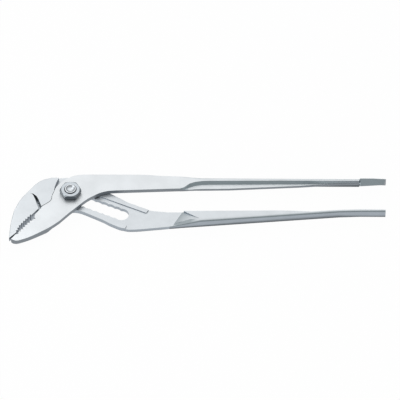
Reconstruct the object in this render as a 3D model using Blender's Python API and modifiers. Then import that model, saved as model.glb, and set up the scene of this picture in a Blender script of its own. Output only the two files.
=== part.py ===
"""Water pump pliers: two forged arms on one bolt, which moves along a slot of nine seats.

The world origin is the middle of the bolt head's flat back face. +Z is towards the nut, and +X towards the
handle ends.
"""

import math
import bpy
import bmesh
from mathutils import Vector

# Driving dimensions, in metres
clearance = 0.0003
overrun = 0.002
merge_distance = 0.00001
seam_step = 0.00006

# Reach of the two arms from the pivot
jaw_reach = 0.0606
jaw_drop = 0.0602
grip_length = 0.2086
top_rise = 0.0235

# Levels of the plates that lie over each other
floor_thick = 0.0040
rail_rise = 0.0010
front_thick = 0.0046

# Adjusting slot
slot_pitch = 0.0071
slot_count = 9
slot_width = 0.0131
slot_lobe_radius = 0.0074
slot_angle = math.radians(-24.5)
slot_to_handle = 0.0590
slot_to_belly = 0.0187
channel_above = 0.0115
channel_below_near = 0.0082
channel_below_far = 0.0114
rail_past_slot = 0.0130

# Boss of the front arm, and the head that stands round it
boss_radius = 0.0163
heel_share = 2.18
opening_angle = math.radians(40)
wall_gap = 0.0003
recess_floor_share = 0.6
head_rise = 0.0194
head_top_share = 0.36
block_slope = 3.0
tip_start_share = 0.8
tip_slope = 0.42
relief_slope = 0.32

# Teeth
upper_tooth_count = 8
lower_tooth_count = 8
tooth_depth = 0.0017

# Handles: a flange with a web on its inner side
flange_thick = 0.0039
flange_taper = 0.35
flange_slope = 0.0024
web_thick = 0.0029
flange_round = 0.0016
blade_ridge = 0.0008

# Rounded edges
jaw_round = 0.0032
plate_round = 0.0008

# Bolt and nut
shank_radius = 0.0060
head_radius = 0.0105
head_thick = 0.0030
head_chamfer = 0.0005
nut_across_flats = 0.0190
nut_height = 0.0052
nut_chamfer = 0.0004
bolt_proud = 0.0010
bolt_chamfer = 0.0006
dish_radius = 0.0046
dish_depth = 0.0015

# Sizes that follow
slot_run = slot_pitch * (slot_count - 1)
slot_along = Vector((math.cos(slot_angle), math.sin(slot_angle)))
slot_across = Vector((-slot_along.y, slot_along.x))
plate_reach = slot_run * slot_along.x + slot_to_handle
belly_drop = slot_to_belly - slot_run * slot_along.y
back_level = head_thick + clearance
floor_level = back_level + floor_thick
rail_level = floor_level + rail_rise
front_back_level = rail_level + clearance
front_level = front_back_level + front_thick
middle_level = (back_level + front_level) / 2
web_back_level = middle_level - web_thick / 2
web_front_level = middle_level + web_thick / 2
nut_back_level = front_level + clearance
nut_front_level = nut_back_level + nut_height
bolt_end_level = nut_front_level + bolt_proud

# Outlines. Left of the pivot a share is of jaw_reach, right of it of plate_reach. Above the pivot it is of
# top_rise, and below it of the drop of the arm: jaw_drop at the jaws and belly_drop at the slotted plate.
front_underside_shares = [
    (-0.967, -0.988), (-0.91, -1.02), (-0.842, -1.022), (-0.675, -0.955), (-0.508, -0.857),
    (-0.342, -0.748), (-0.175, -0.608), (-0.008, -0.424), (0.041, -0.344), (0.087, -0.257),
    (0.133, -0.173), (0.178, -0.107), (0.224, -0.055), (0.269, -0.006), (0.315, 0.055), (0.36, 0.1),
    (0.452, 0.13), (0.587, 0.156), (0.723, 0.178), (0.909, 0.214), (1.0, 0.228)]
front_top_shares = [
    (1.0, 0.892), (0.817, 0.923), (0.725, 0.97), (0.634, 0.991), (0.452, 1.0), (0.178, 1.0), (0.087, 0.983),
    (0.051, 0.957), (0.014, 0.902)]
lower_jaw_shares = [(-0.584, -0.474), (-0.59, -0.53), (-0.609, -0.568), (-0.658, -0.611), (-0.743, -0.698),
                    (-0.817, -0.806), (-0.893, -0.892)]
head_outer_shares = [
    (-1.0, -0.978), (-0.992, -0.807), (-0.975, -0.635), (-0.95, -0.483), (-0.926, -0.375), (-0.884, -0.267),
    (-0.842, -0.171), (-0.776, -0.063), (-0.708, 0.06), (-0.658, 0.226), (-0.592, 0.447), (-0.508, 0.638),
    (-0.426, 0.749), (-0.342, 0.804)]
upper_jaw_shares = [(-0.617, -0.46), (-0.631, -0.478), (-0.675, -0.525), (-0.726, -0.59), (-0.776, -0.654),
                    (-0.825, -0.719), (-0.858, -0.806), (-0.88, -0.852)]
lap_top_shares = [
    (-0.43, 0.5), (-0.36, 0.72), (-0.198, 0.949), (-0.05, 0.987), (0.018, 0.949), (0.09, 0.791), (0.22, 0.47),
    (0.369, 0.089), (0.407, -0.012), (0.452, -0.083), (0.497, -0.165), (0.542, -0.236), (0.587, -0.281),
    (0.632, -0.343), (0.678, -0.392), (0.725, -0.442), (0.817, -0.473), (0.908, -0.5)]
lap_bottom_shares = [
    (0.908, -0.93), (0.813, -0.96), (0.723, -0.983), (0.632, -1.012), (0.542, -1.022), (0.497, -1.0),
    (0.452, -0.97), (0.407, -0.912), (0.36, -0.848), (0.315, -0.767), (0.269, -0.7), (0.224, -0.638),
    (0.133, -0.515), (0.069, -0.45), (0.0, -0.45), (-0.165, -0.53), (-0.33, -0.57), (-0.52, -0.53)]
# The lower jaw is as thick as both plates up to a line from the first point to the second
jaw_block_shares = [(-0.545, -0.424), (-0.33, -0.664)]
# Its back slopes up to its underside from a line between these two points
jaw_relief_shares = [(-1.0, -0.83), (-0.2, -0.53)]
# The facet from the slotted plate up to its handle: place along the grip, and height as a share of belly_drop,
# of its top corner, its bottom corner and the far corner where it reaches the web
facet_shares = [(0.013, -0.48), (-0.0288, -0.842), (0.097, -0.731)]

# Contours round the pivot: angle in degrees, radius as a share of boss_radius
boss_turn_shares = [
    (98, 1.17), (116, 1.06), (131, 1.0), (151, 0.99), (161, 1.0), (178, 1.03), (191, 1.15), (203, 1.25),
    (208.5, 1.4), (210.4, 1.6), (211.6, 1.95)]
heel_turn_shares = [(212.6, 2.12), (214.3, heel_share)]
throat_turn_shares = [(213.2, 2.34)]
# The head's wall starts in the throat and is then worked out at each of these turns
wall_start_shares = [(218, 2.5)]
wall_turns = [213.5, 212.3, 211.3, 210.5, 209.9, 209.3, 208.6, 207.6, 206, 203.5, 200, 196, 192, 187, 182,
              176, 170, 164, 158, 152, 146, 141, 136, 131, 127, 123, 119]
# Crescent in the head: angle in degrees, inner radius and outer radius as shares of boss_radius
recess_turn_shares = [
    (181.3, 2.5, 2.53), (182, 2.34, 2.42), (184, 2.24, 2.34), (187.5, 2.125, 2.29), (194, 2.05, 2.24),
    (204, 2.045, 2.265), (213, 2.09, 2.33), (218.5, 2.12, 2.48)]

# Handle stations: place along the grip, outer edge, inner edge of the web, how far the plate has turned into
# the T section, how far the web's front has sunk to its own level, how much of the plate's width is still full,
# and the lean of the station. Heights are shares of top_rise for the upper handle and of belly_drop for the
# lower one.
upper_grip_shares = [
    (-0.03, 0.88, 0.25, 0.0, 0.0, 1.0, 0.0), (0.0, 0.902, 0.22, 0.0, 0.0, 1.0, 0.0),
    (0.02, 0.887, 0.238, 0.15, 0.6, 0.93, 0.0), (0.046, 0.861, 0.275, 0.45, 1.0, 0.5, 0.0),
    (0.075, 0.84, 0.303, 0.75, 1.0, 0.24, 0.0), (0.105, 0.82, 0.317, 1.0, 1.0, 0.07, 0.0),
    (0.14, 0.812, 0.322, 1.0, 1.0, 0.0, 0.0), (0.241, 0.81, 0.334, 1.0, 1.0, 0.0, 0.0),
    (0.313, 0.81, 0.358, 1.0, 1.0, 0.0, 0.0), (0.385, 0.81, 0.39, 1.0, 1.0, 0.0, 0.0),
    (0.486, 0.806, 0.435, 1.0, 1.0, 0.0, 0.0), (0.581, 0.797, 0.49, 1.0, 1.0, 0.0, 0.0),
    (0.668, 0.788, 0.555, 1.0, 1.0, 0.0, 0.0), (0.764, 0.779, 0.61, 1.0, 1.0, 0.0, 0.0),
    (0.87, 0.77, 0.64, 1.0, 1.0, 0.0, 0.0)]
blade_shares = [(0.876, 0.804, 0.53, 0.0), (0.94, 0.8, 0.57, 0.0), (1.0, 0.765, 0.6, -0.55)]
lower_grip_shares = [
    (-0.075, -0.925, -0.495, 0.0, 0.0, 0.0, 0.0), (-0.0485, -0.936, -0.493, 0.0, 0.0, 0.0, 0.0),
    (-0.0388, -0.932, -0.495, 0.0, 0.0, 0.0, 0.57), (-0.034, -0.93, -0.495, 0.03, 1.0, 0.0, 0.57),
    (0.006, -0.912, -0.497, 0.33, 1.0, 0.0, 0.3), (0.097, -0.88, -0.501, 1.0, 1.0, 0.0, 0.0),
    (0.193, -0.848, -0.499, 1.0, 1.0, 0.0, 0.0), (0.289, -0.8, -0.489, 1.0, 1.0, 0.0, 0.0),
    (0.385, -0.757, -0.485, 1.0, 1.0, 0.0, 0.0), (0.486, -0.715, -0.48, 1.0, 1.0, 0.0, 0.0),
    (0.581, -0.675, -0.497, 1.0, 1.0, 0.0, 0.0), (0.653, -0.642, -0.52, 1.0, 1.0, 0.0, 0.0),
    (0.71, -0.62, -0.515, 1.0, 1.0, 0.0, 0.0), (0.768, -0.595, -0.508, 1.0, 1.0, 0.0, 0.0),
    (0.872, -0.576, -0.5, 1.0, 1.0, 0.0, 0.0), (0.95, -0.576, -0.513, 1.0, 1.0, 0.0, 0.0),
    (0.993, -0.58, -0.527, 1.0, 1.0, 0.0, 0.0)]


def fresh_scene():
    for thing in list(bpy.data.objects):
        bpy.data.objects.remove(thing, do_unlink=True)


def make_collection(name):
    made = bpy.data.collections.new(name)
    bpy.context.scene.collection.children.link(made)
    return made


def make_material(name, colour, roughness, metallic):
    made = bpy.data.materials.new(name)
    made.use_nodes = True
    shader = made.node_tree.nodes["Principled BSDF"]
    shader.inputs["Base Color"].default_value = colour
    shader.inputs["Roughness"].default_value = roughness
    shader.inputs["Metallic"].default_value = metallic
    return made


def placed(shares, drop):
    """Turn outline shares into plan points."""
    points = []
    for across_share, up_share in shares:
        width = jaw_reach if across_share < 0 else plate_reach
        height = drop if up_share < 0 else top_rise
        points.append(Vector((across_share * width, up_share * height)))
    return points


def turned(shares, size):
    """Turn polar shares round the pivot into plan points."""
    points = []
    for degrees, radius_share in shares:
        angle = math.radians(degrees)
        points.append(Vector((math.cos(angle), math.sin(angle))) * (radius_share * size))
    return points


def swept_wall(contour, turns):
    """The line round the pivot that a contour just clears while it turns through the opening angle."""
    known = sorted((math.atan2(point.y, point.x) % math.tau, point.length) for point in contour)
    spare = wall_gap / boss_radius
    wall = []

    def radius_at(angle):
        for (near_angle, near), (far_angle, far) in zip(known, known[1:]):
            if near_angle <= angle < far_angle:
                return near + (far - near) * (angle - near_angle) / (far_angle - near_angle)
        return known[-1][1]

    for degrees in turns:
        most = math.radians(degrees) + spare
        least = math.radians(degrees) - opening_angle - spare
        reach = [radius for angle, radius in known if least <= angle <= most]
        reach += [radius_at(least), radius_at(most)]
        wall.extend(turned([(degrees, max(reach) + wall_gap)], 1))
    return wall


def eased(points, steps):
    """A smooth run through the points, with the given number of steps between each two."""
    count = len(points)
    run = []
    for index in range(count - 1):
        before = points[max(index - 1, 0)]
        start = points[index]
        end = points[index + 1]
        after = points[min(index + 2, count - 1)]
        for step in range(steps):
            t = step / steps
            leave = (end - before) / 2
            arrive = (after - start) / 2
            run.append(start * (2 * t ** 3 - 3 * t ** 2 + 1) + leave * (t ** 3 - 2 * t ** 2 + t)
                       + end * (3 * t ** 2 - 2 * t ** 3) + arrive * (t ** 3 - t ** 2))
    run.append(points[-1].copy())
    return run


def toothed(points, count, depth, side):
    """Cut saw teeth into a run: each has a long face and a short one, and its root lies on the given side."""
    fine = eased(points, 12)
    lengths = [0.0]
    for first, second in zip(fine, fine[1:]):
        lengths.append(lengths[-1] + (second - first).length)
    run = []

    def at(distance):
        for index in range(len(fine) - 1):
            if distance <= lengths[index + 1] or index == len(fine) - 2:
                part = (distance - lengths[index]) / max(lengths[index + 1] - lengths[index], merge_distance)
                direction = (fine[index + 1] - fine[index]).normalized()
                return fine[index].lerp(fine[index + 1], min(part, 1)), direction

    for tooth in range(count):
        crest, direction = at(lengths[-1] * tooth / count)
        run.append(crest)
        root, direction = at(lengths[-1] * (tooth + 0.35) / count)
        run.append(root + Vector((-direction.y, direction.x)) * (side * depth))
    run.append(points[-1].copy())
    return run


def in_slot(along, across):
    return slot_along * along + slot_across * across


def flat_solid(name, outline, low, high, home):
    """A flat outline as a filled 2D curve, extruded between two levels and turned into a mesh."""
    curve = bpy.data.curves.new(name + "_outline", "CURVE")
    curve.dimensions = "2D"
    curve.fill_mode = "BOTH"
    curve.extrude = (high - low) / 2
    spline = curve.splines.new("POLY")
    spline.points.add(len(outline) - 1)
    for point, corner in zip(spline.points, outline):
        point.co = (corner.x, corner.y, 0, 1)
    spline.use_cyclic_u = True
    drawn = bpy.data.objects.new(name + "_outline", curve)
    drawn.location = (0, 0, (low + high) / 2)
    home.objects.link(drawn)
    bpy.context.view_layer.update()
    graph = bpy.context.evaluated_depsgraph_get()
    mesh = bpy.data.meshes.new_from_object(drawn.evaluated_get(graph))
    mesh.name = name
    work = bmesh.new()
    work.from_mesh(mesh)
    bmesh.ops.remove_doubles(work, verts=work.verts, dist=merge_distance)
    bmesh.ops.dissolve_limit(work, angle_limit=math.radians(0.5), verts=[], edges=work.edges)
    bmesh.ops.recalc_face_normals(work, faces=work.faces)
    work.to_mesh(mesh)
    work.free()
    made = bpy.data.objects.new(name, mesh)
    made.matrix_world = drawn.matrix_world
    home.objects.link(made)
    bpy.data.objects.remove(drawn, do_unlink=True)
    bpy.data.curves.remove(curve)
    return made


def weigh_edges(piece, weigher):
    """Give each edge of a flat solid's two faces its bevel weight, from its middle point."""
    mesh = piece.data
    weights = mesh.attributes.new("bevel_weight_edge", "FLOAT", "EDGE")
    places = [piece.matrix_world @ vertex.co for vertex in mesh.vertices]
    for edge in mesh.edges:
        first = places[edge.vertices[0]]
        second = places[edge.vertices[1]]
        if abs(first.z - second.z) < merge_distance:
            weights.data[edge.index].value = weigher((first + second) / 2)


def add_round(piece, width, segments):
    bevel = piece.modifiers.new("round", "BEVEL")
    bevel.limit_method = "WEIGHT"
    bevel.width = width
    bevel.segments = segments
    bevel.use_clamp_overlap = True


def add_boolean(piece, other, operation):
    split = piece.modifiers.new("split", "TRIANGULATE")
    split.ngon_method = "BEAUTY"
    cut = piece.modifiers.new(operation.lower(), "BOOLEAN")
    cut.operation = operation
    cut.solver = "EXACT"
    cut.object = other


def hide_tool(tool):
    tool.hide_render = True
    tool.display_type = "WIRE"


def loft_solid(name, sections, home):
    """Join like rings of points into one closed solid."""
    work = bmesh.new()
    rings = [[work.verts.new(point) for point in section] for section in sections]
    count = len(sections[0])
    for near, far in zip(rings, rings[1:]):
        for index in range(count):
            following = (index + 1) % count
            work.faces.new((near[index], near[following], far[following], far[index]))
    work.faces.new(list(reversed(rings[0])))
    work.faces.new(rings[-1])
    bmesh.ops.recalc_face_normals(work, faces=work.faces)
    mesh = bpy.data.meshes.new(name)
    work.to_mesh(mesh)
    work.free()
    made = bpy.data.objects.new(name, mesh)
    home.objects.link(made)
    return made


def blend(first, second, part):
    return first + (second - first) * part


def grip_ring(station, rise, inward, front):
    """One ring of a handle: a flat plate that turns into a flange with a web on its inner side."""
    along_share, outer_share, inner_share, turn, sunk, spread, lean = station
    across = plate_reach + along_share * grip_length
    outer = outer_share * rise
    seam = seam_step if turn == 0 else 0
    back = (back_level if inward > 0 else front_back_level) + seam
    high = blend(front - seam, front_level, turn)
    low = blend(back, back_level, turn)
    web_high = blend(front - seam, web_front_level, sunk)
    web_low = blend(back, web_back_level, turn)
    corner = blend(plate_round, flange_round, turn)
    flange = flange_thick * (1 - flange_taper * max(along_share, 0))
    width = max(abs(inner_share - outer_share) * rise, flange + clearance)
    full = blend(flange, width - clearance * 2, spread)
    reach = max(width - full, clearance)
    edge = outer + inward * full
    root = edge + inward * min(flange_slope, reach / 2)
    tip = edge + inward * reach
    points = []
    for step in range(4):
        angle = math.radians(30 * step)
        across_edge = outer + inward * corner * (1 - math.sin(angle))
        points.append((across_edge, high - corner * (1 - math.cos(angle))))
    for step in range(4):
        angle = math.radians(30 * step)
        across_edge = outer + inward * corner * (1 - math.cos(angle))
        points.append((across_edge, low + corner * (1 - math.sin(angle))))
    points.extend([(edge, low), (root, web_low), (tip, web_low)])
    points.extend([(tip, web_high), (root, web_high), (edge, high)])
    return [Vector((across + lean * abs(y - outer), y, z)) for y, z in points]


def blade_ring(station, rise, inward):
    """One ring of the pry blade: full width on its outer side, with two bevels that meet in a ridge."""
    along_share, outer_share, ridge_share, lean = station
    across = plate_reach + along_share * grip_length
    outer = outer_share * rise
    ridge = ridge_share * rise
    corner = plate_round
    points = []
    for step in range(4):
        angle = math.radians(30 * step)
        across_edge = outer + inward * corner * (1 - math.sin(angle))
        points.append((across_edge, front_level - corner * (1 - math.cos(angle))))
    for step in range(4):
        angle = math.radians(30 * step)
        across_edge = outer + inward * corner * (1 - math.cos(angle))
        points.append((across_edge, back_level + corner * (1 - math.sin(angle))))
    low_edge = Vector(points[-1])
    high_edge = Vector(points[0])
    low_ridge = Vector((ridge, middle_level - blade_ridge / 2))
    high_ridge = Vector((ridge, middle_level + blade_ridge / 2))
    for part in (1 / 3, 2 / 3, 1):
        points.append(tuple(low_edge.lerp(low_ridge, part)))
    for part in (1, 2 / 3, 1 / 3):
        points.append(tuple(high_edge.lerp(high_ridge, part)))
    return [Vector((across + lean * abs(y - outer), y, z)) for y, z in points]


def relief_cutter(name, first, second, slope, home):
    """A wedge under the back of the jaws, whose upper face rises to the right of a line between two points."""
    along = (second - first).normalized()
    aside = Vector((along.y, -along.x))
    far = jaw_drop * 2
    low = back_level - overrun
    rings = []
    for end in (first - along * far, second + along * far):
        outer = end + aside * far
        high = back_level + far * slope
        rings.append([Vector((end.x, end.y, back_level)), Vector((outer.x, outer.y, high)),
                      Vector((outer.x, outer.y, low)), Vector((end.x, end.y, low))])
    return loft_solid(name, rings, home)


def facet_cutter(home):
    """The room over the sloping facet at the start of the slotted handle."""
    corners = []
    for along_share, up_share in facet_shares:
        corners.append(Vector((plate_reach + along_share * grip_length, up_share * belly_drop)))
    levels = [floor_level - seam_step * 2, floor_level - seam_step * 2, web_front_level + seam_step]
    slope = [Vector((corner.x, corner.y, level)) for corner, level in zip(corners, levels)]
    roof = [Vector((corner.x, corner.y, front_level + overrun)) for corner in corners]
    return loft_solid("facet_cutter", [slope, roof], home)


def on_run(place, run):
    """Whether a plan place lies on a run of outline points."""
    spot = Vector((place.x, place.y))
    for first, second in zip(run, run[1:]):
        stretch = second - first
        part = (spot - first).dot(stretch) / max(stretch.length_squared, merge_distance ** 2)
        if (first + stretch * min(max(part, 0), 1) - spot).length < clearance / 10:
            return True
    return False


def jaw_weigher(sharp_runs):
    """Bevel weights: teeth stay sharp, the backs of the jaws are well rounded, all else only a little."""
    least = plate_round / jaw_round

    def weigh(place):
        if any(on_run(place, run) for run in sharp_runs):
            return 0
        if place.x > 0 or place.length < boss_radius or place.z > middle_level:
            return least
        part = (-place.x / jaw_reach - 0.35) / 0.25
        return least + (1 - least) * min(max(part, 0), 1)
    return weigh


def turned_solid(name, profile, steps, home):
    """A profile of radii and levels, turned round the pivot axis by a Screw modifier."""
    mesh = bpy.data.meshes.new(name)
    mesh.from_pydata([(radius, 0, level) for radius, level in profile],
                     [(index, index + 1) for index in range(len(profile) - 1)], [])
    made = bpy.data.objects.new(name, mesh)
    home.objects.link(made)
    screw = made.modifiers.new("turn", "SCREW")
    screw.steps = steps
    screw.render_steps = steps
    screw.use_merge_vertices = True
    screw.merge_threshold = merge_distance
    screw.use_smooth_shade = False
    return made


def build():
    fresh_scene()
    parts = make_collection("water_pump_pliers")
    tools = make_collection("cutters")
    steel = {}
    for name, shade in (("slotted_arm", 0.62), ("jaw_arm", 0.64), ("pivot_bolt", 0.56), ("pivot_nut", 0.56)):
        steel[name] = make_material(name, (shade, shade * 1.01, shade * 1.03, 1), 0.34, 1.0)

    # Rear arm: one outline, full thickness at the head, thinner where the front arm lies over it
    head_outer = eased(placed(head_outer_shares, jaw_drop), 2)
    lap_top = eased(placed(lap_top_shares[2:], belly_drop), 2)
    lap_bottom = eased(placed(lap_bottom_shares[:-1], belly_drop), 2)
    throat = turned(throat_turn_shares, boss_radius)
    upper_jaw = placed(upper_jaw_shares, jaw_drop)
    upper_teeth = toothed(upper_jaw[1:], upper_tooth_count, tooth_depth, -1)
    rear_outline = head_outer + lap_top + lap_bottom + throat + upper_jaw[:1] + upper_teeth
    rear = flat_solid("slotted_arm", rear_outline, back_level, front_level, parts)
    weigh_edges(rear, jaw_weigher([upper_teeth]))
    add_round(rear, jaw_round, 3)
    tip_start = Vector((-jaw_reach * tip_start_share, 0))
    wedge = relief_cutter("tip_wedge", tip_start, tip_start - Vector((0, jaw_drop)), tip_slope, tools)
    add_boolean(rear, wedge, "DIFFERENCE")

    # The slot: one channel with a wider seat at each place of the bolt
    half = slot_width / 2
    seat_half = min(math.acos(half / slot_lobe_radius), math.asin(slot_pitch / 2 / slot_lobe_radius) * 0.98)
    near_side = []
    for seat in range(slot_count):
        for step in range(5):
            angle = math.radians(90) + seat_half * (1 - step / 2)
            near_side.append(in_slot(slot_pitch * seat + slot_lobe_radius * math.cos(angle),
                                     slot_lobe_radius * math.sin(angle)))
    first_angle = math.radians(90) + seat_half
    cap_half = math.pi - first_angle
    cap_turns = [cap_half * (1 - step / 4) for step in range(1, 8)]
    end_cap = [in_slot(slot_run + slot_lobe_radius * math.cos(turn), slot_lobe_radius * math.sin(turn))
               for turn in cap_turns]
    far_side = [point - slot_across * (2 * point.dot(slot_across)) for point in near_side[::-1]]
    start_cap = [in_slot(-slot_lobe_radius * math.cos(turn), -slot_lobe_radius * math.sin(turn))
                 for turn in cap_turns]
    slot_outline = near_side + end_cap + far_side + start_cap
    slot_cutter = flat_solid("slot_cutter", slot_outline, back_level - overrun, floor_level + overrun, tools)
    add_boolean(rear, slot_cutter, "DIFFERENCE")

    # The step down from the head to the lap, which clears the front arm all the way it opens
    front_top = eased(placed(front_top_shares, jaw_drop), 2)
    boss = eased(turned(boss_turn_shares, boss_radius), 2)
    heel = turned(heel_turn_shares, boss_radius)
    swept = [point for point in swept_wall(front_top + boss + heel, wall_turns) if point.y < head_rise]
    wall = turned(wall_start_shares, boss_radius) + swept + [Vector((swept[-1].x, head_rise))]
    head_end = -jaw_reach * head_top_share
    far_top = Vector((plate_reach, top_rise)) * 2
    far_bottom = Vector((plate_reach * 2, -belly_drop * 2))
    step_outline = wall + [Vector((head_end, head_rise)), Vector((head_end, far_top.y)), far_top, far_bottom,
                           Vector((wall[0].x, far_bottom.y))]
    step_cutter = flat_solid("step_cutter", step_outline, rail_level, front_level + overrun, tools)
    add_boolean(rear, step_cutter, "DIFFERENCE")

    # The floor between the two rails
    floor_outline = [in_slot(-slot_lobe_radius * 2, -channel_below_near),
                     in_slot(slot_run * 0.35, -channel_below_near),
                     in_slot(slot_run + rail_past_slot - overrun, -channel_below_far),
                     in_slot(slot_run + rail_past_slot + overrun, -belly_drop * 2),
                     Vector((plate_reach * 2, -belly_drop * 2)),
                     Vector((plate_reach * 2, top_rise)),
                     in_slot(slot_run + rail_past_slot * 2, belly_drop),
                     in_slot(slot_run + rail_past_slot * 1.7, channel_above),
                     in_slot(-slot_lobe_radius * 2, channel_above)]
    floor_cutter = flat_solid("floor_cutter", floor_outline, floor_level, rail_level + overrun, tools)
    add_boolean(rear, floor_cutter, "DIFFERENCE")

    # Crescent beside the heel of the front arm
    outer_arc = eased(turned([(degrees, far) for degrees, near, far in recess_turn_shares], boss_radius), 3)
    inner_arc = eased(turned([(degrees, near) for degrees, near, far in recess_turn_shares], boss_radius), 3)
    recess_cutter = flat_solid("recess_cutter", outer_arc + inner_arc[::-1],
                               back_level + floor_thick * recess_floor_share, front_level + overrun, tools)
    add_boolean(rear, recess_cutter, "DIFFERENCE")

    # Slotted handle
    lower_rings = [grip_ring(station, belly_drop, 1, floor_level) for station in lower_grip_shares]
    lower_grip = loft_solid("lower_grip", lower_rings, tools)
    add_boolean(rear, lower_grip, "UNION")
    add_boolean(rear, facet_cutter(tools), "DIFFERENCE")

    # Front arm: full thickness only at the lower jaw
    underside = eased(placed(front_underside_shares, jaw_drop), 2)
    lower_jaw = placed(lower_jaw_shares, jaw_drop)
    lower_teeth = toothed(lower_jaw[1:], lower_tooth_count, tooth_depth, 1)
    front_outline = underside + front_top + boss + heel + lower_jaw[:1] + lower_teeth
    front = flat_solid("jaw_arm", front_outline, back_level, front_level, parts)
    weigh_edges(front, jaw_weigher([lower_teeth, boss + heel + lower_jaw[:1]]))
    add_round(front, jaw_round, 3)
    add_boolean(front, wedge, "DIFFERENCE")
    relief_line = placed(jaw_relief_shares, jaw_drop)
    relief = relief_cutter("jaw_relief", relief_line[0], relief_line[1], relief_slope, tools)
    add_boolean(front, relief, "DIFFERENCE")
    line = placed(jaw_block_shares, jaw_drop)
    along_line = (line[1] - line[0]).normalized()
    above = line[0] - along_line * (jaw_drop * 2)
    below = line[1] + along_line * (jaw_drop * 2)
    away = Vector((along_line.y, -along_line.x)) * block_slope
    back_rings = []
    for level in (back_level - overrun, front_back_level):
        shift = away * (front_back_level - level)
        far_low = Vector((plate_reach * 2, below.y))
        far_high = Vector((plate_reach * 2, above.y))
        ring = [above + shift, below + shift, far_low, far_high]
        back_rings.append([Vector((corner.x, corner.y, level)) for corner in ring])
    back_cutter = loft_solid("back_cutter", back_rings, tools)
    add_boolean(front, back_cutter, "DIFFERENCE")
    upper_rings = [grip_ring(station, top_rise, -1, front_level) for station in upper_grip_shares]
    upper_rings += [blade_ring(station, top_rise, -1) for station in blade_shares]
    upper_grip = loft_solid("upper_grip", upper_rings, tools)
    add_boolean(front, upper_grip, "UNION")
    bore_radius = shank_radius + clearance
    bore = turned_solid("bore_cutter", [
        (0, front_level + overrun), (bore_radius, front_level + overrun),
        (bore_radius, front_back_level - overrun), (0, front_back_level - overrun)], 48, tools)
    add_boolean(front, bore, "DIFFERENCE")

    # Bolt: flat head behind the slot, flatted shank in it, round shank through the front arm and the nut
    key_radius = slot_lobe_radius - clearance
    bolt = turned_solid("pivot_bolt", [
        (0, bolt_end_level - dish_depth), (dish_radius * 0.45, bolt_end_level - dish_depth * 0.84),
        (dish_radius * 0.8, bolt_end_level - dish_depth * 0.42),
        (dish_radius, bolt_end_level), (shank_radius - bolt_chamfer, bolt_end_level),
        (shank_radius, bolt_end_level - bolt_chamfer), (shank_radius, rail_level), (key_radius, rail_level),
        (key_radius, head_thick), (head_radius, head_thick), (head_radius, head_chamfer),
        (head_radius - head_chamfer, 0), (0, 0)], 48, parts)
    key_half = half - clearance
    for side in (1, -1):
        flat_outline = [in_slot(-head_radius, side * key_half), in_slot(head_radius, side * key_half),
                        in_slot(head_radius, side * head_radius), in_slot(-head_radius, side * head_radius)]
        flat_cutter = flat_solid("flat_cutter", flat_outline, head_thick, rail_level, tools)
        add_boolean(bolt, flat_cutter, "DIFFERENCE")

    # Hexagon nut with its corners on the X axis
    corner_radius = nut_across_flats / 2 / math.cos(math.radians(30))
    hexagon = [Vector((corner_radius * math.cos(math.radians(60 * step)),
                       corner_radius * math.sin(math.radians(60 * step)))) for step in range(6)]
    nut = flat_solid("pivot_nut", hexagon, nut_back_level, nut_front_level, parts)
    crown_radius = nut_across_flats / 2 - nut_chamfer
    crown_edge = corner_radius + overrun
    crown_drop = (crown_edge - crown_radius) * math.tan(math.radians(30))
    crown = turned_solid("crown_cutter", [
        (0, nut_front_level + overrun), (crown_radius, nut_front_level + overrun),
        (crown_radius, nut_front_level), (crown_edge, nut_front_level - crown_drop),
        (crown_edge, nut_back_level - overrun), (0, nut_back_level - overrun)], 48, tools)
    add_boolean(nut, crown, "INTERSECT")
    add_boolean(nut, nut_bore(bore_radius, tools), "DIFFERENCE")

    for piece in (rear, front, bolt, nut):
        piece.data.materials.clear()
        piece.data.materials.append(steel[piece.name])
    hinge = bpy.data.objects.new("pivot_axis", None)
    parts.objects.link(hinge)
    for piece in (front, bolt, nut):
        piece.parent = hinge
    for tool in tools.objects:
        hide_tool(tool)


def nut_bore(radius, home):
    """The bolt's bore through the nut."""
    high = nut_front_level + overrun
    low = nut_back_level - overrun
    return turned_solid("nut_bore_cutter", [(0, high), (radius, high), (radius, low), (0, low)], 48, home)


build()
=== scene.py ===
"""Finished surfaces of a pair of water pump pliers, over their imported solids.

Each piece has its own operator. The panel in the 3D view's sidebar lists them in the order in which
they are built.
"""

import math
import bmesh
import bpy
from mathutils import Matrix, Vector


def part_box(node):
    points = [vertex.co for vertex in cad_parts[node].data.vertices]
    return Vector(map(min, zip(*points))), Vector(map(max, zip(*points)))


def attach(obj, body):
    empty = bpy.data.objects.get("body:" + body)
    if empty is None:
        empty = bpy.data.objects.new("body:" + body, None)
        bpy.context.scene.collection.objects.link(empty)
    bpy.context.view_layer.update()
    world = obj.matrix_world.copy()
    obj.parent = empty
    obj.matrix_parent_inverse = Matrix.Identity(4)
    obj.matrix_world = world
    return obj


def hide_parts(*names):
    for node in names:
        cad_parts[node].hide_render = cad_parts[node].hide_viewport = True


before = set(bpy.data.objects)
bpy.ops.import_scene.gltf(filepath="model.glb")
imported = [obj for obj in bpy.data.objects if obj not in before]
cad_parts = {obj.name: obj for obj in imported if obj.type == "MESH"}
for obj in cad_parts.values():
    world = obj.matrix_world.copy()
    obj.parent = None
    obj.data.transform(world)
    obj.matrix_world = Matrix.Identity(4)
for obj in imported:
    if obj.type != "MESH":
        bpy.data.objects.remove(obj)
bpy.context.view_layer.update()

bl_info = {
    "name": "Water pump pliers finish",
    "version": (1, 0, 0),
    "blender": (4, 5, 0),
    "location": "View3D > Sidebar > Pliers",
    "description": "Plated forgings, hexagon nut, bolt and studio stage of a pair of water pump pliers",
    "category": "Object",
}

nut_low, nut_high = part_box("pivot_nut")
bolt_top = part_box("pivot_bolt")[1].z
millimetre = 0.001

# Points closer than this are merged: in a solid or after a cut, and after a bevel
cut_gap = 0.005 * millimetre
bevel_gap = 0.0001 * millimetre

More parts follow.
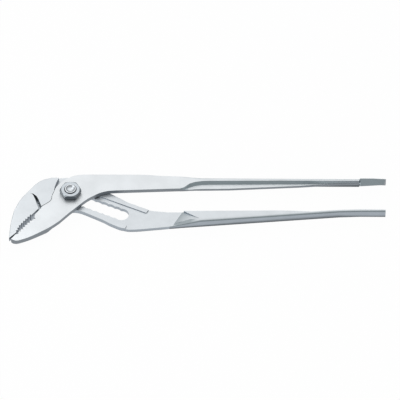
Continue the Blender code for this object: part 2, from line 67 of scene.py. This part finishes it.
# Faces that meet at less than the first angle are one flat, and edges steeper than the second are rounded
flat_angle = math.radians(1.5)
rounded_angle = math.radians(28)

# Painted shade on plated steel by the way it faces, from the back, 0, through a side, 0.5, to the front, 1:
# the flat faces keep the steel's own pale tone, and the slopes, rounded edges, sides and backward edges are
# painted darker as shade and dark reflections
facing_shade_steps = (
    (0.0005, "face"), (0.004, "slope"), (0.025, "slope"), (0.11, "edge"), (0.25, "back"),
    (0.482, "back"), (0.497, "side"), (0.53, "side"), (0.65, "edge"), (0.89, "edge"),
    (0.975, "slope"), (0.996, "slope"), (0.9995, "face"))

# Slow clouds in the plating: the noise values at which they are darkest and gone, and the darkest tone
cloud_start = 0.3
cloud_end = 0.7
cloud_tone = 0.93

# Painted shade in the grooves and corners: the shares of open surroundings at which it is darkest and gone,
# and its darkest tone
cavity_shade_start = 0.3
cavity_shade_end = 0.8
cavity_shade_tone = 0.42

# Marks of belt and blasting: how fast the belt's pattern changes along the arm, against across it, the
# height of a mark as a share of its width, how strongly each kind turns the light, and how much smoother
# or rougher than the rest the belt's marks are
belt_along_share = 0.04
mark_height_share = 0.2
grain_strength = 0.1
belt_strength = 0.08
roughness_change = 0.06

# Sockets of a Mix node for colours: its share, the two colours and the result
mix_share = 0
mix_first = 6
mix_second = 7
mix_result = 2

# Tones of plated machine steel by the way it faces, with its sides and edges painted dark as shade. The
# bolt's faces and slopes are painted paler than the nut's, a painted highlight on its dished end
nut_steel_shade = {"side": "#636A70", "back": "#4E555A", "edge": "#545B61", "slope": "#B4BCC2", "face": "#CDD4DA"}
bolt_steel_highlight = {**nut_steel_shade, "slope": "#DDE3E8", "face": "#EEF2F5"}

# The thread ends this far below the bolt's dished end
thread_end_room = 0.9 * millimetre

# Each softbox: name, width, depth, watts, place and aim. The large one stands to the left, and the small
# one behind the jaws makes them the palest part
softboxes = (
    ("key_softbox", 1.2, 0.8, 9, Vector((-1.3, -0.5, 1.3)), Vector((0.1, 0, 0))),
    ("jaw_softbox", 0.14, 0.14, 0.055, Vector((-0.155, 0.075, 0.225)), Vector((-0.055, -0.045, 0))))

# The room is brightest on the far side, which the flat faces mirror to the camera. It is at its dimmest
# where the cosine of the angle from there is the first value, and at its brightest from the second
room_edge = 0.72
room_heart = 0.97
room_dim = 0.6
room_bright = 1.06

# The floor's middle along the pliers, and the share of plain white in what the camera and the metal see
floor_middle = 0.13
floor_white_share = 0.97

# The point that the camera looks at, its lens and sensor, and how far it sees in metres
view_middle = Vector((0.13084, -0.0057, 0.0083))
lens_millimetres = 400
sensor_millimetres = 36
view_limit = 50


class ForgingSettings(bpy.types.PropertyGroup):
    edge_round: bpy.props.FloatProperty(
        name="Edge rounding", description="Radius that tumbling and plating leave on the forged edges",
        default=0.25 * millimetre, min=0, subtype="DISTANCE", unit="LENGTH")
    grain_size: bpy.props.FloatProperty(
        name="Blast grain", description="Size of the marks that blasting leaves under the plating",
        default=0.3 * millimetre, min=0, subtype="DISTANCE", unit="LENGTH")
    belt_mark: bpy.props.FloatProperty(
        name="Belt mark width", description="Width of the marks that a grinding belt leaves on flat faces",
        default=0.25 * millimetre, min=0, subtype="DISTANCE", unit="LENGTH")
    # Reach of the painted shade in grooves and corners on the rear arm, and on the front arm as a share of
    # it
    cavity_shade_reach: bpy.props.FloatProperty(
        name="Cavity reach", description="Depth of the grooves and corners where the plating has darkened",
        default=1.8 * millimetre, min=0, subtype="DISTANCE", unit="LENGTH")
    front_cavity_shade_share: bpy.props.FloatProperty(
        name="Front cavity reach", description="Cavity reach on the front arm as a share of the rear arm's",
        default=0.5, min=0, max=1, subtype="FACTOR")
    face_colour: bpy.props.FloatVectorProperty(
        name="Front face colour", description="Colour of the front arm's ground faces, as sRGB",
        default=(0.912, 0.930, 0.940), size=3, min=0, max=1, subtype="COLOR_GAMMA")
    rear_face_colour: bpy.props.FloatVectorProperty(
        name="Rear face colour", description="Colour of the rear arm's ground faces, as sRGB",
        default=(0.877, 0.900, 0.912), size=3, min=0, max=1, subtype="COLOR_GAMMA")
    # The colours and shares from here down are painted shade: they make the sides, rounded edges and slopes
    # darker than the faces by the way they face, standing in for shade and dark reflections
    side_shade_colour: bpy.props.FloatVectorProperty(
        name="Side colour", description="Colour of the sides left as forged, as sRGB",
        default=(0.66, 0.69, 0.72), size=3, min=0, max=1, subtype="COLOR_GAMMA")
    front_side_shade_share: bpy.props.FloatProperty(
        name="Front side tone", description="Tone of the front arm's sides as a share of the rear arm's",
        default=0.80, min=0, max=1, subtype="FACTOR")
    edge_shade_colour: bpy.props.FloatVectorProperty(
        name="Rounded edge colour", description="Colour of the rounded edges of the sides, as sRGB",
        default=(0.59, 0.63, 0.65), size=3, min=0, max=1, subtype="COLOR_GAMMA")
    front_edge_shade_share: bpy.props.FloatProperty(
        name="Front edge tone", description="Tone of its rounded edges as a share of the rear arm's",
        default=1.1, min=0, max=1.4, subtype="FACTOR")
    back_edge_shade_colour: bpy.props.FloatVectorProperty(
        name="Back edge colour", description="Colour of the rounded edges at the back, as sRGB",
        default=(0.38, 0.40, 0.42), size=3, min=0, max=1, subtype="COLOR_GAMMA")
    slope_shade_colour: bpy.props.FloatVectorProperty(
        name="Slope colour", description="Colour of the slopes that the belt has missed, as sRGB",
        default=(0.78, 0.82, 0.84), size=3, min=0, max=1, subtype="COLOR_GAMMA")
    rear_slope_shade_share: bpy.props.FloatProperty(
        name="Rear slope tone", description="Tone of the rear arm's slopes as a share of the front arm's",
        default=0.84, min=0, max=1, subtype="FACTOR")


class FastenerSettings(bpy.types.PropertyGroup):
    across_flats: bpy.props.FloatProperty(
        name="Across flats", description="Width of the hexagon nut between two flats",
        default=nut_high.y - nut_low.y, min=0, subtype="DISTANCE", unit="LENGTH")
    nut_height: bpy.props.FloatProperty(
        name="Nut height", description="Height of the hexagon nut",
        default=nut_high.z - nut_low.z, min=0, subtype="DISTANCE", unit="LENGTH")
    bore_radius: bpy.props.FloatProperty(
        name="Nut bore", description="Radius of the hole in the nut",
        default=6.3 * millimetre, min=0, subtype="DISTANCE", unit="LENGTH")
    crown_inset: bpy.props.FloatProperty(
        name="Crown inset", description="How far inside the flats the chamfer of the nut begins",
        default=0.3 * millimetre, min=0, subtype="DISTANCE", unit="LENGTH")
    thread_pitch: bpy.props.FloatProperty(
        name="Thread pitch", description="Rise of the bolt's thread in one turn",
        default=1.75 * millimetre, min=0, subtype="DISTANCE", unit="LENGTH")
    thread_radius: bpy.props.FloatProperty(
        name="Thread radius", description="Radius of the line that the thread's ridge follows",
        default=6.0 * millimetre, min=0, subtype="DISTANCE", unit="LENGTH")
    thread_ridge: bpy.props.FloatProperty(
        name="Thread ridge", description="How far the thread stands out of the shank",
        default=0.2 * millimetre, min=0, subtype="DISTANCE", unit="LENGTH")


class StageSettings(bpy.types.PropertyGroup):
    floor_size: bpy.props.FloatProperty(
        name="Floor size", description="Width of the floor sheet",
        default=6.0, min=0, subtype="DISTANCE", unit="LENGTH")
    floor_gap: bpy.props.FloatProperty(
        name="Floor gap", description="Room between the bolt head's back and the floor sheet",
        default=0.3 * millimetre, min=0, subtype="DISTANCE", unit="LENGTH")
    view_width: bpy.props.FloatProperty(
        name="View width", description="Width that the camera sees at the pliers",
        default=0.40424, min=0, subtype="DISTANCE", unit="LENGTH")
    view_tilt: bpy.props.FloatProperty(
        name="Camera height angle", description="Angle of the camera above the horizon",
        default=math.radians(51.2), subtype="ANGLE", unit="ROTATION")


def linear(code):
    """An sRGB hex code as a linear colour, by the curve of the sRGB standard."""
    values = [int(code[place:place + 2], 16) / 255 for place in (1, 3, 5)]
    return tuple(v / 12.92 if v <= 0.04045 else ((v + 0.055) / 1.055) ** 2.4 for v in values) + (1.0,)


def shaded_colour(colour, share):
    """A colour property's sRGB values, times a share, as a linear colour."""
    return linear("#" + "".join("%02X" % round(value * share * 255) for value in colour))


def add_node(tree, kind, settings=None, inputs=None, links=None):
    """Add a node with its settings and input values, and link outputs of other nodes to its inputs."""
    node = tree.nodes.new(kind)
    for key, value in (settings or {}).items():
        setattr(node, key, value)
    for key, value in (inputs or {}).items():
        node.inputs[key].default_value = value
    for key, output in (links or {}).items():
        tree.links.new(output, node.inputs[key])
    return node


def new_material(name):
    made = bpy.data.materials.new(name)
    made.use_nodes = True
    made.node_tree.nodes.clear()
    return made, made.node_tree


def plated_steel_painted_shade(name, tones, settings, roughness, cloud_size, cavity_shade_share=1.0):
    """Satin plated steel: pale ground faces, painted shade on the sides, edges and slopes and in the
    grooves, and fine marks.

    tones holds a linear colour for each tone name in the table of facing steps, the painted shade among
    them. The last argument scales the reach of the painted shade in the grooves.
    """
    made, tree = new_material(name)
    place = add_node(tree, "ShaderNodeTexCoord")
    object_place = place.outputs["Object"]

    # Faces that look along the pivot axis keep the pale tone of the ground steel. Slopes, sides and rounded
    # edges are painted darker by the way they face, as painted shade and dark reflections, and the edges
    # toward the back are painted darkest
    parts = add_node(tree, "ShaderNodeSeparateXYZ", links={"Vector": place.outputs["Normal"]})
    facing = add_node(tree, "ShaderNodeMapRange", inputs={"From Min": -1.0, "From Max": 1.0},
                      links={"Value": parts.outputs["Z"]})
    tone = add_node(tree, "ShaderNodeValToRGB", links={"Fac": facing.outputs["Result"]})
    steps = tone.color_ramp.elements
    for step, (position, tone_name) in zip(steps, (facing_shade_steps[0], facing_shade_steps[-1])):
        step.position = position
        step.color = tones[tone_name]
    for position, tone_name in facing_shade_steps[1:-1]:
        steps.new(position).color = tones[tone_name]

    # Slow clouds cross the plating. Painted shade darkens the grooves, the roots of the teeth and the
    # corners under the other arm, where the surroundings close in
    slow = add_node(tree, "ShaderNodeTexNoise", inputs={"Scale": 1 / cloud_size, "Detail": 2.0},
                    links={"Vector": object_place})
    cloud = add_node(tree, "ShaderNodeMapRange", links={"Value": slow.outputs["Fac"]},
                     inputs={"From Min": cloud_start, "From Max": cloud_end, "To Min": cloud_tone,
                             "To Max": 1.0})
    cavity = add_node(tree, "ShaderNodeAmbientOcclusion", {"samples": 8},
                      {"Distance": settings.cavity_shade_reach * cavity_shade_share})
    cavity_shade = add_node(tree, "ShaderNodeMapRange", links={"Value": cavity.outputs["AO"]},
                     inputs={"From Min": cavity_shade_start, "From Max": cavity_shade_end, "To Min": cavity_shade_tone,
                             "To Max": 1.0})
    colour = tone.outputs["Color"]
    for darkening in (cloud, cavity_shade):
        mixed = add_node(tree, "ShaderNodeMix", {"data_type": "RGBA", "blend_type": "MULTIPLY"},
                         {mix_share: 1.0}, {mix_first: colour, mix_second: darkening.outputs["Result"]})
        colour = mixed.outputs[mix_result]

    # Belt marks run along the arms, and blasting leaves a grain below them. Both are drawn about three
    # times as coarse as real ones, so that a close view shows them
    stretched = add_node(tree, "ShaderNodeMapping", inputs={"Scale": (belt_along_share, 1.0, 1.0)},
                         links={"Vector": object_place})
    belt = add_node(tree, "ShaderNodeTexNoise", inputs={"Scale": 1 / settings.belt_mark, "Detail": 2.0},
                    links={"Vector": stretched.outputs["Vector"]})
    grain = add_node(tree, "ShaderNodeTexNoise", inputs={"Scale": 1 / settings.grain_size, "Detail": 3.0},
                     links={"Vector": object_place})
    rough = add_node(tree, "ShaderNodeMapRange", links={"Value": belt.outputs["Fac"]},
                     inputs={"To Min": roughness - roughness_change,
                             "To Max": roughness + roughness_change})
    grain_bump = add_node(tree, "ShaderNodeBump", links={"Height": grain.outputs["Fac"]},
                          inputs={"Strength": grain_strength,
                                  "Distance": settings.grain_size * mark_height_share})
    belt_bump = add_node(tree, "ShaderNodeBump",
                         links={"Height": belt.outputs["Fac"], "Normal": grain_bump.outputs["Normal"]},
                         inputs={"Strength": belt_strength,
                                 "Distance": settings.belt_mark * mark_height_share})
    shader = add_node(tree, "ShaderNodeBsdfPrincipled", inputs={"Metallic": 1.0},
                      links={"Base Color": colour, "Roughness": rough.outputs["Result"],
                             "Normal": belt_bump.outputs["Normal"]})
    add_node(tree, "ShaderNodeOutputMaterial", links={"Surface": shader.outputs["BSDF"]})
    return made


def arm_tones_with_shade(settings, face_colour, side_shade_share=1.0, edge_shade_share=1.0, slope_shade_share=1.0):
    """An arm's tones by the way it faces: its own face colour and the painted shade on its sides, edges and
    slopes. The shares scale the shade colours that both arms have in common.
    """
    return {
        "side": shaded_colour(settings.side_shade_colour, side_shade_share),
        "back": shaded_colour(settings.back_edge_shade_colour, 1.0),
        "edge": shaded_colour(settings.edge_shade_colour, edge_shade_share),
        "slope": shaded_colour(settings.slope_shade_colour, slope_shade_share),
        "face": shaded_colour(face_colour, 1.0)}


def link_piece(name, mesh):
    obj = bpy.data.objects.new(name, mesh)
    bpy.context.scene.collection.objects.link(obj)
    return obj


def applied(obj, name):
    """The object with its modifiers turned into a plain mesh."""
    bpy.context.view_layer.update()
    graph = bpy.context.evaluated_depsgraph_get()
    done = bpy.data.meshes.new_from_object(obj.evaluated_get(graph))
    bpy.data.objects.remove(obj)
    return link_piece(name, done)


def merge_slivers(mesh, gap):
    """Merge the points that a cut or a bevel leaves side by side, which closes the faces between them."""
    work = bmesh.new()
    work.from_mesh(mesh)
    bmesh.ops.remove_doubles(work, verts=work.verts, dist=gap)
    work.to_mesh(mesh)
    work.free()


def smoothed(obj, sharp_degrees):
    """Smooth shading that leaves large flat faces flat, with a sharp line where the angle is steeper."""
    obj.data.shade_smooth()
    obj.data.set_sharp_from_angle(angle=math.radians(sharp_degrees))
    weighing = obj.modifiers.new("flat faces", "WEIGHTED_NORMAL")
    weighing.keep_sharp = True
    weighing.weight = 100
    name = obj.name
    obj.name = name + "_draft"
    return applied(obj, name)


def rounded_copy(node, name, width):
    """A copy of a solid with its loose triangles merged, its flats joined and its edges rounded."""
    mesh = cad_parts[node].data.copy()
    work = bmesh.new()
    work.from_mesh(mesh)
    bmesh.ops.remove_doubles(work, verts=work.verts, dist=cut_gap)
    bmesh.ops.dissolve_limit(work, angle_limit=flat_angle, verts=work.verts, edges=work.edges)
    work.to_mesh(mesh)
    work.free()
    obj = link_piece(name + "_plain", mesh)
    bevel = obj.modifiers.new("tumbled edges", "BEVEL")
    bevel.limit_method = "ANGLE"
    bevel.angle_limit = rounded_angle
    bevel.width = width
    bevel.segments = 3
    bevel.use_clamp_overlap = True
    done = applied(obj, name)
    merge_slivers(done.data, bevel_gap)
    return smoothed(done, sharp_degrees=35)


def new_tree(name, labels):
    """A Geometry Nodes tree with an input for each label, and its inputs by name."""
    tree = bpy.data.node_groups.new(name, "GeometryNodeTree")
    tree.interface.new_socket("Geometry", in_out="INPUT", socket_type="NodeSocketGeometry")
    for label in labels:
        tree.interface.new_socket(label, in_out="INPUT", socket_type="NodeSocketFloat")
    tree.interface.new_socket("Material", in_out="INPUT", socket_type="NodeSocketMaterial")
    tree.interface.new_socket("Geometry", in_out="OUTPUT", socket_type="NodeSocketGeometry")
    return tree, {socket.name: socket for socket in add_node(tree, "NodeGroupInput").outputs}


def close_tree(tree, given, geometry):
    """End a tree in real geometry with its material."""
    real = add_node(tree, "GeometryNodeRealizeInstances", links={"Geometry": geometry})
    coloured = add_node(tree, "GeometryNodeSetMaterial",
                        links={"Geometry": real.outputs[0], "Material": given["Material"]})
    add_node(tree, "NodeGroupOutput", links={"Geometry": coloured.outputs[0]})


def grown(name, tree, sizes, material):
    """A piece made by a tree from its named sizes, as a plain mesh."""
    obj = link_piece(name + "_seed", bpy.data.meshes.new(name + "_seed"))
    modifier = obj.modifiers.new("form", "NODES")
    modifier.node_group = tree
    sockets = {item.name: item.identifier for item in tree.interface.items_tree if item.in_out == "INPUT"}
    for label, value in sizes.items():
        modifier[sockets[label]] = value
    modifier[sockets["Material"]] = material
    return applied(obj, name)


def nut_tree():
    """A hexagon nut: six flats, a chamfer cone at each end and a plain bore."""
    tree, given = new_tree("hexagon_nut",
                           ("Across Flats", "Height", "Bore Radius", "Crown Inset", "Base Level"))
    flat_half_angle = math.radians(30)
    chamfer_angle = math.radians(30)

    # Each further size is worked out from two others, or from one and a number
    sizes = dict(given)
    for label, operation, first, second in (
            ("corner radius", "MULTIPLY", "Across Flats", 0.5 / math.cos(flat_half_angle)),
            ("flat radius", "MULTIPLY", "Across Flats", 0.5),
            ("crown radius", "SUBTRACT", "flat radius", "Crown Inset"),
            ("cone run", "MULTIPLY", "Height", 1 / math.tan(chamfer_angle)),
            ("cone foot radius", "ADD", "crown radius", "cone run"),
            ("bore length", "MULTIPLY", "Height", 1.5),
            ("low level", "MULTIPLY", "Height", -0.5),
            ("high level", "MULTIPLY", "Height", 0.5),
            ("nut level", "ADD", "Base Level", "high level")):
        result = add_node(tree, "ShaderNodeMath", {"operation": operation})
        for socket, value in zip(result.inputs, (first, second)):
            if value in sizes:
                tree.links.new(sizes[value], socket)
            else:
                socket.default_value = value
        sizes[label] = result.outputs[0]
    low_place, high_place, nut_place = [
        add_node(tree, "ShaderNodeCombineXYZ", links={"Z": sizes[level]}).outputs[0]
        for level in ("low level", "high level", "nut level")]

    block = add_node(tree, "GeometryNodeMeshCylinder", inputs={"Vertices": 6},
                     links={"Radius": sizes["corner radius"], "Depth": sizes["Height"]})
    cone = add_node(tree, "GeometryNodeMeshCone", inputs={"Vertices": 96},
                    links={"Radius Top": sizes["crown radius"], "Radius Bottom": sizes["cone foot radius"],
                           "Depth": sizes["Height"]})
    upper = add_node(tree, "GeometryNodeTransform",
                     links={"Geometry": cone.outputs[0], "Translation": low_place})
    lower = add_node(tree, "GeometryNodeTransform", inputs={"Rotation": (math.pi, 0, 0)},
                     links={"Geometry": cone.outputs[0], "Translation": high_place})
    chamfered = add_node(tree, "GeometryNodeMeshBoolean", {"operation": "INTERSECT", "solver": "EXACT"})
    for mesh in (block, upper, lower):
        tree.links.new(mesh.outputs[0], chamfered.inputs["Mesh 2"])
    bore = add_node(tree, "GeometryNodeMeshCylinder", inputs={"Vertices": 64},
                    links={"Radius": sizes["Bore Radius"], "Depth": sizes["bore length"]})
    bored = add_node(tree, "GeometryNodeMeshBoolean", {"operation": "DIFFERENCE", "solver": "EXACT"},
                     links={"Mesh 1": chamfered.outputs[0], "Mesh 2": bore.outputs[0]})
    placed = add_node(tree, "GeometryNodeTransform",
                      links={"Geometry": bored.outputs[0], "Translation": nut_place})
    close_tree(tree, given, placed.outputs[0])
    return tree


def thread_tree():
    """A thread: a three-sided ridge that climbs round the shank."""
    tree, given = new_tree("bolt_thread", ("Pitch", "Length", "Radius", "Ridge", "Base Level"))
    turns = add_node(tree, "ShaderNodeMath", {"operation": "DIVIDE"},
                     links={0: given["Length"], 1: given["Pitch"]})
    path = add_node(tree, "GeometryNodeCurveSpiral", inputs={"Resolution": 40},
                    links={"Rotations": turns.outputs[0], "Start Radius": given["Radius"],
                           "End Radius": given["Radius"], "Height": given["Length"]})
    ridge = add_node(tree, "GeometryNodeCurvePrimitiveCircle", inputs={"Resolution": 3},
                     links={"Radius": given["Ridge"]})
    swept = add_node(tree, "GeometryNodeCurveToMesh", inputs={"Fill Caps": True},
                     links={"Curve": path.outputs[0], "Profile Curve": ridge.outputs[0]})
    rise = add_node(tree, "ShaderNodeCombineXYZ", links={"Z": given["Base Level"]})
    placed = add_node(tree, "GeometryNodeTransform",
                      links={"Geometry": swept.outputs[0], "Translation": rise.outputs[0]})
    close_tree(tree, given, placed.outputs[0])
    return tree


def finished(obj, body, node, material):
    """Hand a finished piece to its body, in place of its plain solid."""
    obj.data.materials.clear()
    obj.data.materials.append(material)
    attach(obj, body)
    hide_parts(node)


class PLIERS_OT_slotted_arm(bpy.types.Operator):
    """Build the rear arm's plated forging"""
    bl_idname = "pliers.slotted_arm"
    bl_label = "Slotted arm"

    def execute(self, context):
        settings = context.scene.pliers_forging
        arm = rounded_copy("slotted_arm", "slotted_arm_forging", settings.edge_round)

        # Satin nickel on a ground forging gives a soft, slightly grey sheen. Its sides, edges and slopes are
        # painted darker as shade, and painted shade fills every groove
        tones = arm_tones_with_shade(settings, settings.rear_face_colour, slope_shade_share=settings.rear_slope_shade_share)
        plate = plated_steel_painted_shade("satin_nickel_rear_painted_shade", tones, settings, roughness=0.42,
                             cloud_size=14 * millimetre)
        finished(arm, "rear_arm", "slotted_arm", plate)
        return {"FINISHED"}


class PLIERS_OT_jaw_arm(bpy.types.Operator):
    """Build the front arm's plated forging"""
    bl_idname = "pliers.jaw_arm"
    bl_label = "Jaw arm"

    def execute(self, context):
        settings = context.scene.pliers_forging
        arm = rounded_copy("jaw_arm", "jaw_arm_forging", settings.edge_round)

        # The same plate over a finer grind gives the palest faces. Its sides are painted darker still as
        # shade, and the painted shade in the grooves reaches less far
        tones = arm_tones_with_shade(settings, settings.face_colour, side_shade_share=settings.front_side_shade_share,
                          edge_shade_share=settings.front_edge_shade_share)
        plate = plated_steel_painted_shade("satin_nickel_front_painted_shade", tones, settings, roughness=0.40,
                             cloud_size=17 * millimetre, cavity_shade_share=settings.front_cavity_shade_share)
        finished(arm, "front_arm", "jaw_arm", plate)
        return {"FINISHED"}


class PLIERS_OT_joint(bpy.types.Operator):
    """Build the bolt, its thread and its hexagon nut"""
    bl_idname = "pliers.joint"
    bl_label = "Bolt and nut"

    def execute(self, context):
        settings = context.scene.pliers_forging
        sizes = context.scene.pliers_fasteners

        # Plated machine steel is glossier than the forgings, so its lights and darks are crisper. Its sides
        # and edges carry painted shade, and the bolt's faces a painted highlight
        nut_plate, bolt_plate = [
            plated_steel_painted_shade(name, {facing: linear(code) for facing, code in codes.items()}, settings,
                         roughness=0.24, cloud_size=4 * millimetre)
            for name, codes in (("plated_nut_steel_painted_shade", nut_steel_shade), ("plated_bolt_painted_highlight", bolt_steel_highlight))]
        bolt = rounded_copy("pivot_bolt", "bolt_turned", settings.edge_round / 2)
        finished(bolt, "pivot", "pivot_bolt", bolt_plate)
        nut = grown("nut_hexagon", nut_tree(), {
            "Across Flats": sizes.across_flats, "Height": sizes.nut_height, "Bore Radius": sizes.bore_radius,
            "Crown Inset": sizes.crown_inset, "Base Level": nut_low.z}, nut_plate)
        merge_slivers(nut.data, cut_gap)
        nut = smoothed(nut, sharp_degrees=25)
        finished(nut, "pivot", "pivot_nut", nut_plate)
        thread = grown("bolt_thread_ridge", thread_tree(), {
            "Pitch": sizes.thread_pitch, "Length": bolt_top - nut_low.z - thread_end_room,
            "Radius": sizes.thread_radius, "Ridge": sizes.thread_ridge, "Base Level": nut_low.z}, nut_plate)
        thread = smoothed(thread, sharp_degrees=30)
        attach(thread, "pivot")
        return {"FINISHED"}


class PLIERS_OT_stage(bpy.types.Operator):
    """Lay the pale floor, set the lamps and aim the camera"""
    bl_idname = "pliers.stage"
    bl_label = "Stage"

    def execute(self, context):
        settings = context.scene.pliers_stage
        scene = context.scene
        scene.view_settings.view_transform = "Standard"
        bpy.ops.mesh.primitive_plane_add(size=settings.floor_size,
                                         location=(floor_middle, 0, -settings.floor_gap))
        floor = context.object
        floor.name = "floor_sheet"

        # White card: the camera and the metal see it as nearly plain white, and it keeps a faint shadow
        made, tree = new_material("white_floor")
        path = add_node(tree, "ShaderNodeLightPath")
        plain = add_node(tree, "ShaderNodeBsdfDiffuse", inputs={"Color": linear("#F4F5F6")})
        glow = add_node(tree, "ShaderNodeEmission", inputs={"Color": (1, 1, 1, 1), "Strength": 1.0})
        seen = add_node(tree, "ShaderNodeMath", {"operation": "MAXIMUM"},
                        links={0: path.outputs["Is Camera Ray"], 1: path.outputs["Is Glossy Ray"]})
        share = add_node(tree, "ShaderNodeMath", {"operation": "MULTIPLY"}, {1: floor_white_share},
                         {0: seen.outputs[0]})
        mixed = add_node(tree, "ShaderNodeMixShader",
                         links={0: share.outputs[0], 1: plain.outputs[0], 2: glow.outputs[0]})
        add_node(tree, "ShaderNodeOutputMaterial", links={"Surface": mixed.outputs[0]})
        floor.data.materials.append(made)

        world = bpy.data.worlds.new("studio")
        world.use_nodes = True
        tree = world.node_tree
        tree.nodes.clear()
        toward = add_node(tree, "ShaderNodeTexCoord")
        middle = Vector((0, math.cos(settings.view_tilt), math.sin(settings.view_tilt)))
        nearness = add_node(tree, "ShaderNodeVectorMath", {"operation": "DOT_PRODUCT"}, {1: middle},
                            {0: toward.outputs["Generated"]})
        strength = add_node(tree, "ShaderNodeMapRange", {"interpolation_type": "SMOOTHSTEP"},
                            {"From Min": room_edge, "From Max": room_heart, "To Min": room_dim,
                             "To Max": room_bright},
                            {"Value": nearness.outputs["Value"]})
        back = add_node(tree, "ShaderNodeBackground", inputs={"Color": (1, 1, 1, 1)},
                        links={"Strength": strength.outputs["Result"]})
        add_node(tree, "ShaderNodeOutputWorld", links={"Surface": back.outputs[0]})
        scene.world = world

        for name, width, depth, watts, place, aim in softboxes:
            lamp = bpy.data.lights.new(name, "AREA")
            lamp.shape = "RECTANGLE"
            lamp.size = width
            lamp.size_y = depth
            lamp.energy = watts
            softbox = bpy.data.objects.new(name, lamp)
            softbox.location = place
            softbox.rotation_euler = (aim - place).to_track_quat("-Z", "Y").to_euler()
            scene.collection.objects.link(softbox)

        lens = bpy.data.cameras.new("photo_camera")
        lens.lens = lens_millimetres
        lens.sensor_width = sensor_millimetres
        lens.sensor_fit = "HORIZONTAL"
        lens.clip_end = view_limit
        reach = settings.view_width * lens.lens / lens.sensor_width
        tilt = settings.view_tilt
        camera = bpy.data.objects.new("photo_camera", lens)
        camera.location = view_middle + Vector((0, -math.cos(tilt), math.sin(tilt))) * reach
        camera.rotation_euler = (math.radians(90) - tilt, 0, 0)
        scene.collection.objects.link(camera)
        scene.camera = camera
        return {"FINISHED"}


class PLIERS_PT_build(bpy.types.Panel):
    """List the sizes and colours, and the pieces in the order in which they are built"""
    bl_idname = "PLIERS_PT_build"
    bl_label = "Water pump pliers"
    bl_space_type = "VIEW_3D"
    bl_region_type = "UI"
    bl_category = "Pliers"

    def draw(self, context):
        column = self.layout.column()
        scene = context.scene
        for settings in (scene.pliers_forging, scene.pliers_fasteners, scene.pliers_stage):
            for name in settings.__annotations__:
                column.prop(settings, name)
        for operator in builders:
            column.operator(operator.bl_idname)


builders = (PLIERS_OT_slotted_arm, PLIERS_OT_jaw_arm, PLIERS_OT_joint, PLIERS_OT_stage)
classes = (ForgingSettings, FastenerSettings, StageSettings) + builders + (PLIERS_PT_build,)


def register():
    for made in classes:
        bpy.utils.register_class(made)
    bpy.types.Scene.pliers_forging = bpy.props.PointerProperty(type=ForgingSettings)
    bpy.types.Scene.pliers_fasteners = bpy.props.PointerProperty(type=FastenerSettings)
    bpy.types.Scene.pliers_stage = bpy.props.PointerProperty(type=StageSettings)


def unregister():
    del bpy.types.Scene.pliers_stage
    del bpy.types.Scene.pliers_fasteners
    del bpy.types.Scene.pliers_forging
    for made in reversed(classes):
        bpy.utils.unregister_class(made)


def main():
    register()
    bpy.ops.pliers.slotted_arm()
    bpy.ops.pliers.jaw_arm()
    bpy.ops.pliers.joint()
    bpy.ops.pliers.stage()


if __name__ == "__main__":
    main()
